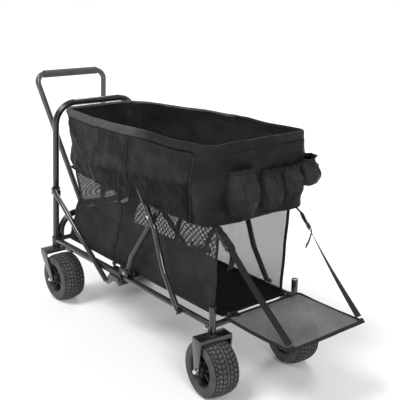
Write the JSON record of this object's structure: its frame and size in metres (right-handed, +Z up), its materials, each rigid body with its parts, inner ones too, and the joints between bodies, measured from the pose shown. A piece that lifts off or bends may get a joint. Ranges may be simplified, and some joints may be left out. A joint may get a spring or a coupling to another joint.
{
  "type": "folding camp wagon",
  "caption": "Folding camp wagon with a deep fabric basket over a mesh lower deck, a drop tailgate, bottle pockets, a pull handle and wide caster wheels.",
  "frame": {"origin": "on the ground, at the middle of the whole wagon's length and width", "axes": "+Z up, -X towards the pull handle, +X towards the tailgate, -Y the right side as seen from behind the handle"},
  "size_m": [1.482, 0.4984, 0.905],
  "materials": {
    "frame_paint": "black satin powder coat",
    "handle_paint": "dark grey satin powder coat",
    "grip_foam": "matt foam",
    "black_plastic": "matt",
    "bright_metal": "polished",
    "grey_steel": "brushed",
    "tyre_rubber": "matt moulded tread",
    "wheel_plastic": "matt",
    "basket_fabric": "coated woven polyester",
    "deck_mesh": "open knitted mesh",
    "webbing": "woven webbing"
  },
  "bodies": {
    "frame": {"hoop": "frame_paint", "front_sockets": "frame_paint", "low_arch": "frame_paint", "front_cross_tube": "frame_paint", "sleeve_rail_r": "frame_paint", "sleeve_rail_l": "frame_paint", "collars": "frame_paint", "collar_rivets": "bright_metal", "brace_r": "frame_paint", "brace_l": "frame_paint", "clamp_housing_r": "black_plastic", "clamp_housing_l": "black_plastic", "clamp_knobs": "black_plastic", "rail_feet": "black_plastic", "mid_cross_tube": "frame_paint", "front_bar_pins": "grey_steel", "basket": "basket_fabric", "basket_skirts": "basket_fabric", "bottle_pockets": "basket_fabric", "lower_bag": "deck_mesh"},
    "sliding_end": {"inner_rail_r": "frame_paint", "inner_rail_l": "frame_paint", "stub_post_r": "frame_paint", "stub_post_l": "frame_paint", "end_cross_tube": "frame_paint", "end_gussets": "frame_paint", "end_screws": "bright_metal", "rear_bar_pins": "grey_steel", "tailgate_brackets": "frame_paint", "strap_r": "webbing", "strap_l": "webbing", "buckle_r": "black_plastic", "buckle_l": "black_plastic"},
    "tailgate": {"tailgate_border": "webbing", "tailgate_mesh": "deck_mesh"},
    "handle": {"handle_tube": "handle_paint", "handle_grip": "grip_foam", "handle_sleeves": "black_plastic"},
    "scissor_a_r": {"bar_a_r": "frame_paint", "scissor_rivet_r": "bright_metal"},
    "scissor_b_r": {"bar_b_r": "frame_paint"},
    "scissor_a_l": {"bar_a_l": "frame_paint", "scissor_rivet_l": "bright_metal"},
    "scissor_b_l": {"bar_b_l": "frame_paint"},
    "caster_front_r": {"fork_front_r": "frame_paint", "axle_front_r": "bright_metal"},
    "wheel_front_r": {"tyre_front_r": "tyre_rubber", "rim_front_r": "wheel_plastic"},
    "caster_front_l": {"fork_front_l": "frame_paint", "axle_front_l": "bright_metal"},
    "wheel_front_l": {"tyre_front_l": "tyre_rubber", "rim_front_l": "wheel_plastic"},
    "caster_rear_r": {"fork_rear_r": "frame_paint", "axle_rear_r": "bright_metal"},
    "wheel_rear_r": {"tyre_rear_r": "tyre_rubber", "rim_rear_r": "wheel_plastic"},
    "caster_rear_l": {"fork_rear_l": "frame_paint", "axle_rear_l": "bright_metal"},
    "wheel_rear_l": {"tyre_rear_l": "tyre_rubber", "rim_rear_l": "wheel_plastic"}
  },
  "joints": [
    {"name": "frame_slide", "type": "slide", "parent": "frame", "child": "sliding_end", "axis": [-1, 0, 0], "range_m": [0, 0.22], "deforming": ["basket", "basket_skirts", "bottle_pockets", "lower_bag"]},
    {"name": "scissor_a_r_turn", "type": "hinge", "parent": "sliding_end", "child": "scissor_a_r", "pos_m": [0.274, -0.2002, 0.237], "axis": [0, 1, 0], "range_deg": [0, 21]},
    {"name": "scissor_b_r_turn", "type": "hinge", "parent": "frame", "child": "scissor_b_r", "pos_m": [-0.049, -0.178, 0.262], "axis": [0, -1, 0], "range_deg": [0, 23]},
    {"name": "scissor_a_l_turn", "type": "hinge", "parent": "sliding_end", "child": "scissor_a_l", "pos_m": [0.274, 0.2002, 0.237], "axis": [0, 1, 0], "range_deg": [0, 21]},
    {"name": "scissor_b_l_turn", "type": "hinge", "parent": "frame", "child": "scissor_b_l", "pos_m": [-0.049, 0.178, 0.262], "axis": [0, -1, 0], "range_deg": [0, 23]},
    {"name": "handle_tilt", "type": "hinge", "parent": "frame", "child": "handle", "pos_m": [-0.576, 0, 0.337], "axis": [0, -1, 0], "range_deg": [-16, 60]},
    {"name": "tailgate_hinge", "type": "hinge", "parent": "sliding_end", "child": "tailgate", "pos_m": [0.451, 0, 0.271], "axis": [0, -1, 0], "range_deg": [0, 88], "deforming": ["strap_r", "strap_l", "buckle_r", "buckle_l"]},
    {"name": "caster_front_r_swivel", "type": "hinge", "parent": "frame", "child": "caster_front_r", "pos_m": [-0.576, -0.18, 0.2], "axis": [0, 0, 1], "continuous": true},
    {"name": "wheel_front_r_spin", "type": "hinge", "parent": "caster_front_r", "child": "wheel_front_r", "pos_m": [-0.521, -0.18, 0.095], "axis": [0, 1, 0], "continuous": true},
    {"name": "caster_front_l_swivel", "type": "hinge", "parent": "frame", "child": "caster_front_l", "pos_m": [-0.576, 0.18, 0.2], "axis": [0, 0, 1], "continuous": true},
    {"name": "wheel_front_l_spin", "type": "hinge", "parent": "caster_front_l", "child": "wheel_front_l", "pos_m": [-0.521, 0.18, 0.095], "axis": [0, 1, 0], "continuous": true},
    {"name": "caster_rear_r_swivel", "type": "hinge", "parent": "sliding_end", "child": "caster_rear_r", "pos_m": [0.424, -0.18, 0.2], "axis": [0, 0, 1], "continuous": true},
    {"name": "wheel_rear_r_spin", "type": "hinge", "parent": "caster_rear_r", "child": "wheel_rear_r", "pos_m": [0.424, -0.18, 0.095], "axis": [0.1045, 0.9945, 0], "continuous": true},
    {"name": "caster_rear_l_swivel", "type": "hinge", "parent": "sliding_end", "child": "caster_rear_l", "pos_m": [0.424, 0.18, 0.2], "axis": [0, 0, 1], "continuous": true},
    {"name": "wheel_rear_l_spin", "type": "hinge", "parent": "caster_rear_l", "child": "wheel_rear_l", "pos_m": [0.424, 0.18, 0.095], "axis": [0.1045, 0.9945, 0], "continuous": true}
  ],
  "couplings": [
    {"joint": "scissor_a_r_turn", "follows": "frame_slide", "rad_per_m": 1.603},
    {"joint": "scissor_b_r_turn", "follows": "frame_slide", "rad_per_m": 1.763},
    {"joint": "scissor_a_l_turn", "follows": "frame_slide", "rad_per_m": 1.603},
    {"joint": "scissor_b_l_turn", "follows": "frame_slide", "rad_per_m": 1.763}
  ]
}
